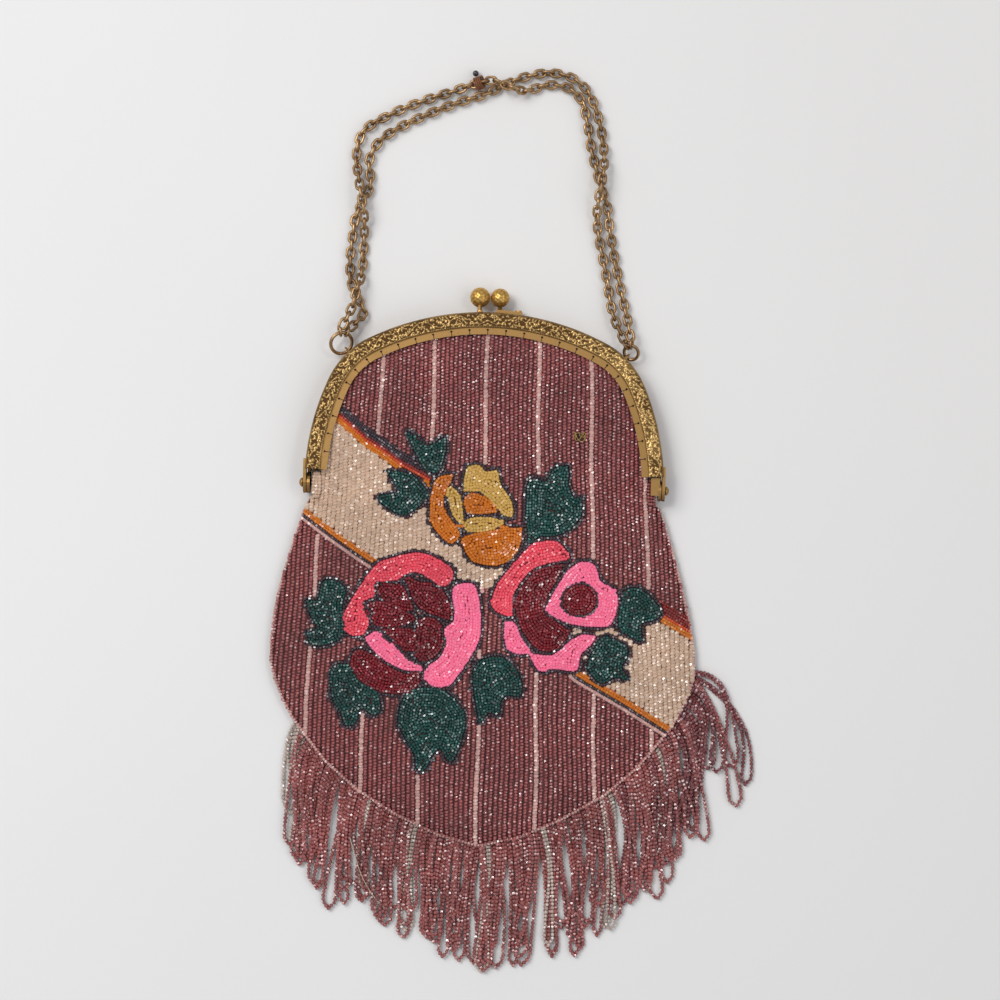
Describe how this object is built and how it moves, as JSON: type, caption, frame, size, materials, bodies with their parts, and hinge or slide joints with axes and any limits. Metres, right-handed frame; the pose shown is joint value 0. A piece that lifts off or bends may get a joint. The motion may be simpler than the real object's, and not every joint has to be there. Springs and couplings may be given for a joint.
{
  "type": "beaded flapper purse",
  "caption": "Arched gilt-framed purse of knitted glass beads with a kiss-lock, a looped bead fringe and a doubled cable chain, lying flat on its back.",
  "frame": {"origin": "point on the table under the middle of the hinge line, on the bag's flat back", "axes": "+Y from the fringe towards the clasp, +Z out of the table towards the front of the bag, +X to the right as seen from the front"},
  "size_m": [0.199, 0.3649, 0.012],
  "materials": {
    "mauve_beads": "small glass beads knitted on thread, lustrous",
    "fringe_beads": "strands of small glass beads, lustrous",
    "gilt": "pressed and gilt, with brown patina in the hollows",
    "bright_gilt": "gilt, engraved",
    "chain_metal": "tarnished",
    "rusty_metal": "rusted wire",
    "dark_glass": "glossy"
  },
  "bodies": {
    "root": {"bag": "mauve_beads", "frame_front": "gilt", "frame_back": "gilt", "clasp_ball_left": "bright_gilt", "clasp_ball_right": "bright_gilt", "hinge_rivet_right": "gilt", "hinge_rivet_left": "gilt", "chain_ring_left": "chain_metal", "chain_ring_right": "chain_metal", "end_link_left_outer": "chain_metal", "end_link_left_inner": "chain_metal", "end_link_right_outer": "chain_metal", "end_link_right_inner": "chain_metal", "chain_strand_outer": "chain_metal", "chain_strand_inner": "chain_metal", "join_ring": "rusty_metal", "join_bead": "dark_glass", "fringe": "fringe_beads"}
  },
  "joints": []
}
